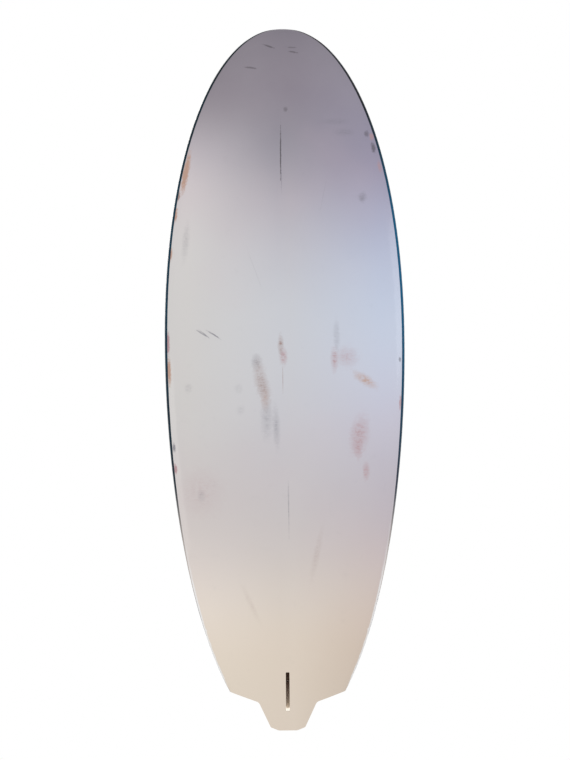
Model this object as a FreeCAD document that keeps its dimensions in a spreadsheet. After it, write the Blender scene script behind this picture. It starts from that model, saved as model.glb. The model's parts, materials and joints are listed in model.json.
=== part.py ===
import FreeCAD, Part
import math
import os
import Sketcher
from FreeCAD import Placement, Rotation, Vector

doc = FreeCAD.newDocument("StandUpPaddleboard")

# ---------------------------------------------------------------- driving sizes, millimetres
# The board lies deck up. X runs to the nose, Y to the left of a rider facing the nose, Z up.
SIZES = (
    ("board_length", 2590, "nose tip to tail end"),
    ("board_width", 874, "rail to rail at the wide point"),
    ("board_thick", 118, "bottom to deck at the middle"),
    ("wide_point_x", 119, "wide point ahead of the middle"),
    ("nose_fullness", 2.11, "superellipse exponent of the outline ahead of the wide point"),
    ("tail_fullness", 1.97, "superellipse exponent of the outline behind it"),
    ("tail_reach", 1458, "wide point to where the tail outline would close"),
    ("nose_rocker", 125, "rise of the bottom at the nose tip"),
    ("nose_rocker_power", 2.6, "how late the nose rocker starts"),
    ("tail_rocker", 62, "rise of the bottom at the tail end"),
    ("tail_rocker_power", 2.2, "how late the tail rocker starts"),
    ("nose_thinning", 0.62, "share of the thickness lost at the nose"),
    ("nose_thinning_power", 2.4, "how late the nose thins"),
    ("tail_thinning", 0.5, "share of the thickness lost at the tail"),
    ("tail_thinning_power", 2.6, "how late the tail thins"),
    ("apex_share", 0.42, "height of the rail's widest line, as a share of the thickness"),
    ("tail_apex_share", 0.16, "the same at the tail end, where the rail edge is hard"),
    ("nose_round", 60, "length of the rounded nose tip"),
    ("vee_depth", 6, "rise of the vee bottom from keel line to rail"),
    ("vee_softness", 120, "half width over which the keel line is rounded"),
    ("bottom_fullness", 5, "superellipse exponent of the lower rail"),
    ("deck_fullness", 4, "superellipse exponent of the upper rail"),
    ("wing_x", -1151, "wing corner, from the middle"),
    ("wing_y", 208, "wing corner, half width"),
    ("neck_x", -1189, "inner corner of the shoulder"),
    ("neck_y", 106, "inner corner, half width"),
    ("stub_x", -1283, "outer corner of the tail end"),
    ("stub_y", 63, "half width of the tail end at that corner"),
    ("end_y", 34, "half width of the straight part of the tail end"),
    ("stub_round", 10, "radius of the outer corner"),
    ("end_round", 20, "radius where the tail end turns straight"),
    ("neck_round", 18, "radius inside the neck corner"),
    ("tail_bevel", 5, "bevel of the deck edge round the tail"),
    ("skin_thick", 4, "sandwich skin"),
    ("glue_line", 0.3, "glue between the skin and what it covers"),
    ("lap_inset", 11, "how far in from the rail the deck colour reaches underneath"),
    ("lap_tail_inset", 1.5, "the same round the tail"),
    ("stringer_thick", 6, "plywood stringer"),
    ("panel_thick", 3, "stiffening sheet under the deck"),
    ("panel_front_x", 520, "front end of the stiffening sheet"),
    ("panel_rear_x", -620, "rear end of the stiffening sheet"),
    ("panel_half_width", 270, "half width of the stiffening sheet"),
    ("fin_slot_x", -1150, "middle of the fin slot"),
    ("fin_slot_length", 145, "fin slot, along the board"),
    ("fin_slot_width", 13.5, "fin slot, across the board"),
    ("fin_slot_depth", 35, "fin slot, from the bottom surface to its roof"),
    ("fin_slot_round", 3, "corner radius of the slot"),
    ("fin_box_wall", 6, "wall of the fin box"),
    ("fin_bolt_x", 29, "bolt hole ahead of the slot's middle"),
    ("fin_bolt_radius", 3.2, "bolt hole for an M6 bolt, close clearance"),
    ("sleeve_bore", 9, "inside radius of the bolt sleeve"),
    ("sleeve_wall", 2, "wall of the bolt sleeve"),
    ("tail_block_x", -1180, "middle of the dense foam block round the fin box"),
    ("tail_block_length", 260, "its length, out through the tail end"),
    ("tail_block_width", 70, "its width"),
    ("leash_x", -1197, "middle of the leash cup"),
    ("leash_bore", 15, "inside radius of the leash cup"),
    ("leash_wall", 2.5, "wall of the leash cup"),
    ("leash_depth", 17, "depth of the leash cup under the deck"),
    ("leash_bar_radius", 2, "leash bar"),
    ("leash_bar_depth", 4.5, "middle of the leash bar under the deck"),
    ("flange_reach", 3.5, "how far a fitting's flange reaches past its body"),
    ("flange_rise", 1.5, "how far a flange stands above the deck"),
    ("flange_sink", 1.5, "how far a flange is let into the deck"),
    ("vent_x", 560, "vent, ahead of the middle"),
    ("vent_y", 0, "vent, from the centre line"),
    ("vent_body_radius", 13, "outside radius of the vent body"),
    ("vent_body_depth", 24, "vent body under the deck"),
    ("vent_recess_radius", 10.2, "recess that takes the screw's head"),
    ("vent_floor_depth", 4.5, "floor of that recess, under the deck"),
    ("vent_bore", 5.05, "bore that the screw runs in"),
    ("vent_screw_radius", 5, "screw shank"),
    ("vent_screw_reach", 11, "screw shank under the recess floor"),
    ("vent_head_radius", 9.6, "screw head"),
    ("vent_head_thick", 4.6, "screw head"),
    ("vent_head_gap", 0.5, "gap under the head at rest"),
    ("vent_drive_radius", 3.2, "six-sided drive recess, to a corner"),
    ("vent_drive_depth", 3, "depth of the drive recess"),
    ("seal_ring_radius", 7, "O-ring, to the middle of its cord"),
    ("seal_cord_radius", 1.2, "O-ring cord"),
    ("running_gap", 0.05, "clearance between pieces that move apart"),
    ("vent_block_radius", 28, "foam block round the vent"),
    ("vent_block_depth", 40, "its depth under the deck"),
    ("handle_x", -20, "middle of the carry handle"),
    ("handle_length", 158, "inside length of the handle cup"),
    ("handle_width", 76, "inside width"),
    ("handle_depth", 40, "inside depth under the deck"),
    ("handle_wall", 3, "wall of the handle cup"),
    ("handle_round", 30, "plan corner radius"),
    ("handle_floor_round", 12, "rounding at the foot of the cup"),
    ("handle_flange", 9, "width of the cup's flange"),
    ("grip_width", 26, "grip bar across"),
    ("grip_thick", 15, "grip bar, top to bottom"),
    ("grip_drop", 1, "top of the grip under the flange's top"),
    ("grip_round", 5.5, "rounding of the grip's long edges"),
    ("handle_block_margin", 22, "foam block round the handle cup"),
    ("pad_thick", 5, "deck pad"),
    ("pad_front_x", 430, "front end of the deck pad"),
    ("pad_centre_lead", 70, "how much further forward the middle panel reaches"),
    ("pad_rear_x", -700, "rear end of the deck pad"),
    ("pad_gap", 7, "gap between pad panels"),
    ("pad_centre_half", 118, "half width of the middle panel"),
    ("pad_rail_margin", 78, "bare deck left along the rail"),
    ("pad_nose_taper", 90, "how much narrower the side panels are at the front"),
    ("pad_corner", 28, "corner radius of a pad panel"),
    ("pad_handle_margin", 5, "gap between the pad and the handle's flange"),
    ("tail_pad_rear_x", -1052, "rear end of the tail pad"),
    ("kick_length", 62, "kick at the back of the tail pad, along the board"),
    ("kick_height", 24, "height of the kick over the pad"),
    ("kick_half_width", 130, "half width of the kick"),
    ("kick_setback", 8, "kick ahead of the tail pad's rear end"),
    ("kick_edge", 2, "thickness of the kick's front edge"),
)

sheet = doc.addObject("Spreadsheet::Sheet", "Sizes")


def add_size(alias, value, note):
    """Put one named size on the next row of the sheet."""
    row = len(sheet.getUsedCells()) // 3 + 1
    sheet.set(f"A{row}", alias)
    sheet.set(f"B{row}", str(value))
    sheet.set(f"C{row}", note)
    sheet.setAlias(f"B{row}", alias)


for entry in SIZES:
    add_size(*entry)
doc.recompute()


def size(alias):
    """A size from the sheet, as a number."""
    return float(sheet.get(alias))


HALF = size("board_length") / 2
END_CAP = 0.15      # the nose outline closes this far past the tip
CLEAR = 10          # keeps a helper hull's surface away from the one it would graze
OVERRUN = 6         # how far the hull runs on past the tail end before it is trimmed
OVERLAP = 1         # how far joined or cutting shapes reach into each other
STATIONS = 24       # sections along the hull
CROWDING = 1.9      # how strongly the sections crowd toward the nose
RING_STEPS = 12     # points on a quarter of a section
BELLY, DECK = 0, 1  # the two runs of a section
LAP_STEPS = (0.06, 0.3, 0.6, 1)  # points of the deck's run between the rail and the lap line
LAP_TAIL = 2.2      # how early toward the tail the lap line draws out to the rail
LEAST_LAP = 0.6     # smallest share of the half width left to the bottom skin
LEAN = 12           # height over which the tail's limit leans in, up past the deck
NEEDLE = 0.05       # the filling's end at the nose tip, as a share of the hull's


# ---------------------------------------------------------------- hull shape
def rocker(x):
    """Height of the keel line."""
    if x > 0:
        return size("nose_rocker") * (x / HALF) ** size("nose_rocker_power")
    return size("tail_rocker") * (-x / HALF) ** size("tail_rocker_power")


def thickness(x):
    """Bottom to deck on the centre line, before the nose tip is rounded."""
    if x > 0:
        lost = size("nose_thinning") * (x / HALF) ** size("nose_thinning_power")
    else:
        lost = size("tail_thinning") * (-x / HALF) ** size("tail_thinning_power")
    return size("board_thick") * (1 - lost)


def apex_rise(x):
    """Height of the rail's widest line above the keel line."""
    share = size("apex_share")
    if x < 0:
        share += (size("tail_apex_share") - share) * (x / HALF) ** 2
    return thickness(x) * share


def half_width(x, inset=0.0):
    """Half width of the outline, or of one drawn that much inside it."""
    wide = size("wide_point_x")
    if x > wide:
        power = size("nose_fullness")
        along = (x - wide) / (HALF + END_CAP - inset - wide)
    else:
        power = size("tail_fullness")
        along = (wide - x) / (size("tail_reach") - inset)
    return (size("board_width") / 2 - inset) * (1 - along ** power) ** (1 / power)


def section_point(x, share, upper, inset, under, over):
    """Y and Z of the hull's section at x, at a share of the half width."""
    tip_start = HALF + END_CAP - inset - size("nose_round")
    into_tip = max(0.0, (x - tip_start) / size("nose_round"))
    tip = math.sqrt(1 - into_tip ** 2)
    rise = apex_rise(x)
    apex = rocker(x) + rise
    y = share * half_width(x, inset)
    if upper:
        height = (thickness(x) - rise - over) * tip
        power = size("deck_fullness")
        return y, apex + height * (1 - share ** power) ** (1 / power)
    height = (rise - under) * tip
    power = size("bottom_fullness")
    tail_share = max(0.0, -x / HALF)
    vee = size("vee_depth") * tip * (1 - tail_share ** 2)
    vee *= y * y / (abs(y) + size("vee_softness")) / (size("board_width") / 2)
    return y, apex - height + vee + (height - vee) * (1 - (1 - share ** power) ** (1 / power))


def lap_share(x):
    """Share of the half width at which the deck skin ends underneath."""
    tail_share = min(1.0, LAP_TAIL * max(0.0, -x / HALF) ** 2)
    reach = size("lap_inset") + (size("lap_tail_inset") - size("lap_inset")) * tail_share
    return max(LEAST_LAP, 1 - reach / half_width(x))


def paths(x, inset=0.0, under=0.0, over=0.0):
    """The section at x as two runs of points, belly and deck, that meet at the lap lines."""
    if inset > 0 and x > HALF - inset:
        centre = Vector(x, 0, rocker(x) + apex_rise(x))
        return [[centre + (point - centre) * NEEDLE for point in run] for run in paths(x)]
    lap = lap_share(x)
    spread = [1 - (1 - step / RING_STEPS) ** 2 for step in range(RING_STEPS + 1)]
    belly = [section_point(x, lap * share, False, inset, under, over) for share in spread]
    deck = [section_point(x, share, True, inset, under, over) for share in spread]
    for share in LAP_STEPS:
        deck.append(section_point(x, 1 - (1 - lap) * share, False, inset, under, over))
    runs = []
    for half in (belly, deck):
        whole = half[::-1] + [(-y, z) for y, z in half[1:]]
        runs.append([Vector(x, y, z) for y, z in whole])
    return runs


def run_curve(points, which):
    """Smooth curve through a run; every section shares its parameters, so that they line up."""
    places = [0.0]
    middle = paths(0.0)[which]
    for index in range(1, len(middle)):
        places.append(places[-1] + middle[index].distanceToPoint(middle[index - 1]))
    curve = Part.BSplineCurve()
    curve.interpolate(Points=points, Parameters=places)
    return curve.toShape()


def stations(nose):
    """Places of the sections, closest together at the nose."""
    tail = -HALF - OVERRUN
    steps = range(STATIONS + 1)
    return [nose - (nose - tail) * (1 - step / STATIONS) ** CROWDING for step in steps]


def deck_height(x, y=0.0):
    """Height of the deck surface at x, y."""
    share = abs(y) / half_width(x)
    return section_point(x, share, True, 0.0, 0.0, 0.0)[1]


def hull(inset=0.0, under=0.0, over=0.0):
    """Hull solid, drawn in by inset at the rail, by under below and by over on deck."""
    wires = []
    for x in stations(HALF):
        runs = paths(x, inset, under, over)
        wires.append(Part.Wire([run_curve(run, which) for which, run in enumerate(runs)]))
    return Part.makeLoft(wires, True, False)


def shell(which):
    """Skin of even thickness over one of the two runs, belly or deck."""
    thick = size("skin_thick")
    wires = []
    for x in stations(HALF):
        outside = paths(x)[which]
        inside = paths(x, thick, thick, thick)[which]
        edges = [
            run_curve(outside, which),
            Part.LineSegment(outside[-1], inside[-1]).toShape(),
            run_curve(inside, which),
            Part.LineSegment(inside[0], outside[0]).toShape(),
        ]
        wires.append(Part.Wire(edges))
    return Part.makeLoft(wires, True, False)


def tail_plan(inset=0.0):
    """Tall prism with the winged tail's plan shape, open past the wings."""
    slope = (size("wing_x") - size("neck_x")) / (size("wing_y") - size("neck_y"))
    wide = size("board_width")
    side = (
        Vector(HALF * 2, wide, 0),
        Vector(size("wing_x") + slope * (wide - size("wing_y")), wide, 0),
        Vector(size("neck_x"), size("neck_y"), 0),
        Vector(size("stub_x"), size("stub_y"), 0),
        Vector(-HALF, size("end_y"), 0),
    )
    other = [Vector(point.x, -point.y, 0) for point in reversed(side)]
    outline = Part.makePolygon(list(side) + other + [side[0]])
    prism = Part.Face(outline).extrude(Vector(0, 0, 2 * wide))
    corners = {
        "neck_round": size("neck_x"),
        "stub_round": size("stub_x"),
        "end_round": -HALF,
    }
    for alias, corner_x in corners.items():
        edges = [edge for edge in prism.Edges if is_upright(edge) and near(edge, corner_x)]
        prism = prism.makeFillet(size(alias), edges)
    if inset:
        foot = min(prism.Faces, key=lambda face: face.CenterOfMass.z).OuterWire
        prism = Part.Face(foot.makeOffset2D(-inset)).extrude(Vector(0, 0, 2 * wide))
    prism.translate(Vector(0, 0, -wide / 2))
    return prism


def tail_limit():
    """The tail's plan shape as a solid whose top edge leans in, which bevels the deck's edge."""
    bevel_foot = deck_height(-HALF) - size("tail_bevel")
    tall = size("nose_rocker")
    plan = tail_plan()
    floor = min(plan.Faces, key=lambda face: face.CenterOfMass.z)
    wall = floor.extrude(Vector(0, 0, bevel_foot - floor.CenterOfMass.z))
    rim = floor.OuterWire
    rim.translate(Vector(0, 0, bevel_foot - floor.CenterOfMass.z))
    steep = rim.makeOffset2D(-LEAN)
    steep.translate(Vector(0, 0, LEAN))
    lean = Part.makeLoft([rim, steep], True, True)
    above = Part.Face(steep).extrude(Vector(0, 0, tall))
    return wall.fuse([lean, above])


def is_upright(edge):
    """True for a straight edge along Z."""
    ends = [vertex.Point for vertex in edge.Vertexes]
    return len(ends) == 2 and (ends[1] - ends[0]).cross(Vector(0, 0, 1)).Length < 0.01


def near(edge, x):
    """True for an edge that stands at x."""
    return abs(edge.CenterOfMass.x - x) < 0.5


# ---------------------------------------------------------------- small helpers
def feature(label, shape):
    """Document object that holds a shape made by formula."""
    made = doc.addObject("Part::Feature", label)
    made.Shape = shape
    return made


def bind(made, **expressions):
    """Bind properties of an object to expressions on the sheet."""
    for name, expression in expressions.items():
        made.setExpression(name.replace("__", "."), expression)
    return made


def place(made, x="0", y="0", z="0"):
    """Bind an object's position to expressions."""
    return bind(made, Placement__Base__x=x, Placement__Base__y=y, Placement__Base__z=z)


def cylinder(label, radius, height, x="0", y="0", z="0"):
    """Upright cylinder whose foot stands at x, y, z."""
    made = bind(doc.addObject("Part::Cylinder", label), Radius=radius, Height=height)
    return place(made, x, y, z)


def box(label, length, width, height, x, y, z):
    """Box centred on x and y, with its foot at z."""
    made = doc.addObject("Part::Box", label)
    bind(made, Length=length, Width=width, Height=height)
    return place(made, f"{x} - ({length}) / 2", f"{y} - ({width}) / 2", z)


def cut(label, base, *tools):
    """Base less the tools."""
    made = doc.addObject("Part::Cut", label)
    made.Base = base
    made.Tool = tools[0] if len(tools) == 1 else fuse(label + "_tools", *tools)
    return made


def fuse(label, *pieces):
    """Union of the pieces."""
    made = doc.addObject("Part::MultiFuse", label)
    made.Shapes = list(pieces)
    return made


def common(label, *pieces):
    """What the pieces share."""
    made = doc.addObject("Part::MultiCommon", label)
    made.Shapes = list(pieces)
    return made


def plane_of(body, role):
    """Origin plane of a body, by its role."""
    return next(item for item in body.Origin.OriginFeatures if item.Role == role)


def rectangle_sketch(body, label, length, width):
    """Centred rectangle on the body's XY plane, its sides bound to the sheet."""
    sketch = body.newObject("Sketcher::SketchObject", label)
    sketch.AttachmentSupport = (plane_of(body, "XY_Plane"), [""])
    sketch.MapMode = "FlatFace"
    corners = [Vector(10, 10, 0), Vector(-10, 10, 0), Vector(-10, -10, 0), Vector(10, -10, 0)]
    for index in range(4):
        sketch.addGeometry(Part.LineSegment(corners[index], corners[(index + 1) % 4]), False)
    for index in range(4):
        sketch.addConstraint(Sketcher.Constraint("Coincident", index, 2, (index + 1) % 4, 1))
    for index in (0, 2):
        sketch.addConstraint(Sketcher.Constraint("Horizontal", index))
        sketch.addConstraint(Sketcher.Constraint("Vertical", index + 1))
    sketch.addConstraint(Sketcher.Constraint("Symmetric", 0, 1, 1, 2, -1, 1))
    sides = (("Across", 1, width, "DistanceY"), ("Along", 0, length, "DistanceX"))
    for name, line, expression, kind in sides:
        number = sketch.addConstraint(Sketcher.Constraint(kind, line, 2, line, 1, 20))
        sketch.renameConstraint(number, name)
        sketch.setExpression(f"Constraints.{name}", expression)
    return sketch


def block_body(label, length, width, height, corner=None):
    """PartDesign body: a padded rectangle, with rounded upright corners."""
    body = doc.addObject("PartDesign::Body", label)
    sketch = rectangle_sketch(body, label + "_plan", length, width)
    pad = body.newObject("PartDesign::Pad", label + "_pad")
    pad.Profile = sketch
    bind(pad, Length=height)
    body.Tip = pad
    doc.recompute()
    if corner:
        round_edges(body, label + "_corners", is_upright, corner)
    return body


def round_edges(body, label, wanted, radius):
    """Fillet the edges of a body that the test wanted() picks."""
    base = body.Tip
    names = [
        f"Edge{number}"
        for number, edge in enumerate(base.Shape.Edges, 1)
        if wanted(edge)
    ]
    fillet = body.newObject("PartDesign::Fillet", label)
    fillet.Base = (base, names)
    bind(fillet, Radius=radius)
    body.Tip = fillet
    doc.recompute()


for fitting in ("leash", "vent", "handle"):
    height = round(deck_height(size(fitting + "_x")), 2)
    add_size(fitting + "_deck_z", height, f"deck surface at the {fitting}")
doc.recompute()


# ---------------------------------------------------------------- hull volumes
skin = size("skin_thick")
bond = skin + size("glue_line")
inner_hull = feature("inner_hull", hull(bond, bond, bond).common(tail_plan(bond)))
outside_plan = hull(skin / 2, skin / 2, skin / 2).cut(tail_plan(skin))
tail_zone = Part.makeBox(HALF, size("board_width"), size("board_width"))
tail_zone.translate(Vector(-HALF - OVERRUN / 2, -size("board_width") / 2, -size("board_thick")))
tail_wall = feature("tail_wall", outside_plan.common(tail_zone))

# ---------------------------------------------------------------- fin box, slot and bolt sleeve
FIN_TILT = math.degrees(math.atan2(rocker(size("fin_slot_x") - 1) - rocker(size("fin_slot_x")), 1))
fin_frame = Placement(
    Vector(size("fin_slot_x"), 0, rocker(size("fin_slot_x"))),
    Rotation(Vector(0, 1, 0), FIN_TILT),
)
BELOW = 15          # how far a cutting shape starts below the bottom surface
roof = size("fin_slot_depth") + size("fin_box_wall")
roof_centre = fin_frame.multVec(Vector(size("fin_bolt_x"), 0, roof))
well_depth = (deck_height(roof_centre.x) - roof_centre.z) / math.cos(math.radians(FIN_TILT))
add_size("sleeve_length", round(well_depth + size("flange_rise"), 2), "fin box roof to deck")
doc.recompute()

slot_form = block_body(
    "slot_form",
    "Sizes.fin_slot_length",
    "Sizes.fin_slot_width",
    f"Sizes.fin_slot_depth + {BELOW}",
    "Sizes.fin_slot_round",
)
slot_form.Placement = fin_frame.multiply(Placement(Vector(0, 0, -BELOW), Rotation()))
fin_box_form = block_body(
    "fin_box_form",
    "Sizes.fin_slot_length + 2 * Sizes.fin_box_wall",
    "Sizes.fin_slot_width + 2 * Sizes.fin_box_wall",
    "Sizes.fin_slot_depth + Sizes.fin_box_wall",
    "Sizes.fin_slot_round + Sizes.fin_box_wall",
)
fin_box_form.Placement = fin_frame
bolt_form = bind(
    doc.addObject("Part::Cylinder", "bolt_form"),
    Radius="Sizes.fin_bolt_radius",
    Height="Sizes.fin_slot_depth + 2 * Sizes.fin_box_wall",
)
sleeve_outer = bind(
    doc.addObject("Part::Cylinder", "sleeve_outer"),
    Radius="Sizes.sleeve_bore + Sizes.sleeve_wall",
    Height="Sizes.sleeve_length",
)
sleeve_inner = bind(
    doc.addObject("Part::Cylinder", "sleeve_inner"),
    Radius="Sizes.sleeve_bore",
    Height="Sizes.sleeve_length",
)
for piece, lift in ((bolt_form, 0), (sleeve_outer, roof), (sleeve_inner, roof)):
    offset = Placement(Vector(size("fin_bolt_x"), 0, lift), Rotation())
    piece.Placement = fin_frame.multiply(offset)

fin_box = cut("fin_box", common("fin_box_blank", fin_box_form, inner_hull), slot_form, bolt_form)
fin_bolt_sleeve = cut("fin_bolt_sleeve", sleeve_outer, sleeve_inner)
tail_block_form = box(
    "tail_block_form",
    "Sizes.tail_block_length",
    "Sizes.tail_block_width",
    "2 * Sizes.board_thick",
    "Sizes.tail_block_x",
    "0",
    "0",
)

# ---------------------------------------------------------------- leash cup and bar
TOP = "Sizes.{0}_deck_z + Sizes.flange_rise"
FLANGE = "Sizes.flange_rise + Sizes.flange_sink"
leash_body = cylinder(
    "leash_body",
    "Sizes.leash_bore + Sizes.leash_wall",
    "Sizes.leash_depth + Sizes.leash_wall",
    "Sizes.leash_x",
    "0",
    "Sizes.leash_deck_z - Sizes.leash_depth - Sizes.leash_wall",
)
leash_flange = cylinder(
    "leash_flange",
    "Sizes.leash_bore + Sizes.leash_wall + Sizes.flange_reach",
    FLANGE,
    "Sizes.leash_x",
    "0",
    "Sizes.leash_deck_z - Sizes.flange_sink",
)
leash_form = fuse("leash_form", leash_body, leash_flange)
leash_bore = cylinder(
    "leash_bore_form",
    "Sizes.leash_bore",
    "Sizes.leash_depth + 2 * Sizes.flange_rise",
    "Sizes.leash_x",
    "0",
    "Sizes.leash_deck_z - Sizes.leash_depth",
)
leash_bar = bind(
    doc.addObject("Part::Cylinder", "leash_bar"),
    Radius="Sizes.leash_bar_radius",
    Height="2 * Sizes.leash_bore + Sizes.leash_wall",
)
leash_bar.Placement.Rotation = Rotation(Vector(1, 0, 0), -90)
place(
    leash_bar,
    "Sizes.leash_x",
    "-Sizes.leash_bore - Sizes.leash_wall / 2",
    "Sizes.leash_deck_z - Sizes.leash_bar_depth",
)
leash_cup = cut("leash_cup", leash_form, leash_bore, leash_bar)

# ---------------------------------------------------------------- vent: body, seal and screw
VENT = ("Sizes.vent_x", "Sizes.vent_y")
FLOOR = "Sizes.vent_deck_z - Sizes.vent_floor_depth"
vent_core = cylinder(
    "vent_core",
    "Sizes.vent_body_radius",
    "Sizes.vent_body_depth",
    *VENT,
    "Sizes.vent_deck_z - Sizes.vent_body_depth",
)
vent_flange = cylinder(
    "vent_flange",
    "Sizes.vent_body_radius + Sizes.flange_reach",
    FLANGE,
    *VENT,
    "Sizes.vent_deck_z - Sizes.flange_sink",
)
vent_form = fuse("vent_form", vent_core, vent_flange)
vent_recess = cylinder(
    "vent_recess",
    "Sizes.vent_recess_radius",
    "Sizes.vent_floor_depth + 2 * Sizes.flange_rise",
    *VENT,
    FLOOR,
)
vent_bore = cylinder(
    "vent_bore_form",
    "Sizes.vent_bore",
    "Sizes.vent_body_depth",
    *VENT,
    "Sizes.vent_deck_z - Sizes.vent_body_depth",
)
vent_body = cut("vent_body", vent_form, vent_recess, vent_bore)

vent_shank = cylinder(
    "vent_shank",
    "Sizes.vent_screw_radius",
    f"Sizes.vent_screw_reach + Sizes.vent_head_gap + {OVERLAP}",
    *VENT,
    FLOOR + " - Sizes.vent_screw_reach",
)
vent_head = cylinder(
    "vent_head",
    "Sizes.vent_head_radius",
    "Sizes.vent_head_thick",
    *VENT,
    FLOOR + " + Sizes.vent_head_gap",
)
vent_seal = bind(
    doc.addObject("Part::Torus", "vent_seal"),
    Radius1="Sizes.seal_ring_radius",
    Radius2="Sizes.seal_cord_radius",
)
place(vent_seal, *VENT, FLOOR + " + Sizes.seal_cord_radius + Sizes.running_gap")
GROOVE_HEIGHT = "2 * Sizes.seal_cord_radius + 2 * Sizes.running_gap - Sizes.vent_head_gap"
groove_outer = cylinder(
    "groove_outer",
    "Sizes.seal_ring_radius + Sizes.seal_cord_radius + Sizes.running_gap",
    GROOVE_HEIGHT,
    *VENT,
    FLOOR + " + Sizes.vent_head_gap",
)
groove_inner = cylinder(
    "groove_inner",
    "Sizes.seal_ring_radius - Sizes.seal_cord_radius - Sizes.running_gap",
    GROOVE_HEIGHT,
    *VENT,
    FLOOR + " + Sizes.vent_head_gap",
)
seal_groove = cut("seal_groove", groove_outer, groove_inner)
vent_drive = bind(
    doc.addObject("Part::Prism", "vent_drive"),
    Circumradius="Sizes.vent_drive_radius",
    Height=f"Sizes.vent_drive_depth + {OVERLAP}",
)
vent_drive.Polygon = 6
place(
    vent_drive,
    *VENT,
    FLOOR + " + Sizes.vent_head_gap + Sizes.vent_head_thick - Sizes.vent_drive_depth",
)
vent_plug = fuse("vent_plug", vent_shank, vent_head)
vent_screw = cut("vent_screw", vent_plug, seal_groove, vent_drive)
vent_block_form = cylinder(
    "vent_block_form",
    "Sizes.vent_block_radius",
    "2 * Sizes.vent_block_depth",
    *VENT,
    "Sizes.vent_deck_z - Sizes.vent_block_depth",
)

# ---------------------------------------------------------------- carry handle
CUP_LENGTH = "Sizes.handle_length + 2 * Sizes.handle_wall"
CUP_WIDTH = "Sizes.handle_width + 2 * Sizes.handle_wall"
handle_z = size("handle_deck_z")
handle_body = block_body(
    "handle_body",
    CUP_LENGTH,
    CUP_WIDTH,
    "Sizes.handle_depth + Sizes.handle_wall",
    "Sizes.handle_round + Sizes.handle_wall",
)
handle_flange = block_body(
    "handle_flange_form",
    CUP_LENGTH + " + 2 * Sizes.handle_flange",
    CUP_WIDTH + " + 2 * Sizes.handle_flange",
    FLANGE,
    "Sizes.handle_round + Sizes.handle_wall + Sizes.handle_flange",
)
handle_hollow = block_body(
    "handle_hollow",
    "Sizes.handle_length",
    "Sizes.handle_width",
    "Sizes.handle_depth + 2 * Sizes.flange_rise",
    "Sizes.handle_round",
)
place(handle_body, "Sizes.handle_x", "0",
      "Sizes.handle_deck_z - Sizes.handle_depth - Sizes.handle_wall")
place(handle_flange, "Sizes.handle_x", "0", "Sizes.handle_deck_z - Sizes.flange_sink")
place(handle_hollow, "Sizes.handle_x", "0", "Sizes.handle_deck_z - Sizes.handle_depth")


def at_foot(edge):
    """True for an edge round the foot of a body that starts at its own z = 0."""
    return edge.BoundBox.ZMax < 0.01


round_edges(
    handle_body,
    "handle_body_foot",
    at_foot,
    "Sizes.handle_floor_round + Sizes.handle_wall",
)
round_edges(handle_hollow, "handle_hollow_foot", at_foot, "Sizes.handle_floor_round")
handle_form = fuse("handle_form", handle_body, handle_flange)

handle_grip = block_body(
    "handle_grip",
    "Sizes.handle_length + Sizes.handle_wall",
    "Sizes.grip_width",
    "Sizes.grip_thick",
)
place(
    handle_grip,
    "Sizes.handle_x",
    "0",
    "Sizes.handle_deck_z + Sizes.flange_rise - Sizes.grip_drop - Sizes.grip_thick",
)
round_edges(
    handle_grip,
    "handle_grip_rounds",
    lambda edge: edge.BoundBox.XLength > size("handle_length") / 2,
    "Sizes.grip_round",
)
handle_cup = cut("handle_cup", handle_form, handle_hollow, handle_grip)
BLOCK_MARGIN = " + 2 * Sizes.handle_block_margin"
handle_block_form = box(
    "handle_block_form",
    CUP_LENGTH + BLOCK_MARGIN,
    CUP_WIDTH + BLOCK_MARGIN,
    "2 * Sizes.handle_depth",
    "Sizes.handle_x",
    "0",
    "Sizes.handle_deck_z - Sizes.handle_depth - Sizes.handle_wall - Sizes.handle_block_margin",
)

# ---------------------------------------------------------------- skins
deck_fittings = fuse("deck_fittings", leash_form, vent_form, handle_form, sleeve_outer)
tail_form = feature("tail_form", tail_limit())
belly_shell = feature("belly_shell", shell(BELLY).common(tail_plan()))
deck_shell = feature("deck_shell", shell(DECK))
bottom_skin = cut("bottom_skin", belly_shell, tail_wall, slot_form)
deck_and_wall = fuse("deck_and_wall", deck_shell, tail_wall)
deck_skin = cut("deck_skin", common("deck_blank", deck_and_wall, tail_form), deck_fittings)


# ---------------------------------------------------------------- plan shapes on the deck
def plan_prism(outline):
    """Tall prism over a closed plan outline given as edges."""
    return Part.Face(Part.Wire(Part.__sortEdges__(outline))).extrude(
        Vector(0, 0, size("board_thick") * 3)
    )


def rounded_plan(points, radius):
    """Tall prism over a polygon with rounded corners."""
    ring = [Vector(x, y, 0) for x, y in points]
    prism = plan_prism(Part.makePolygon(ring + [ring[0]]).Edges)
    return prism.makeFillet(radius, [edge for edge in prism.Edges if is_upright(edge)])


panel_middle = (size("panel_front_x") + size("panel_rear_x")) / 2
panel_plan = plan_prism(
    [
        Part.Ellipse(
            Vector(panel_middle, 0, 0), size("panel_front_x") - panel_middle,
            size("panel_half_width"),
        ).toShape()
    ]
)
panel_under = hull(0, -CLEAR, skin + size("panel_thick"))
panel_blank = feature("panel_blank", inner_hull.Shape.common(panel_plan).cut(panel_under))
standing_panel = cut("standing_panel", panel_blank, handle_form)

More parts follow.
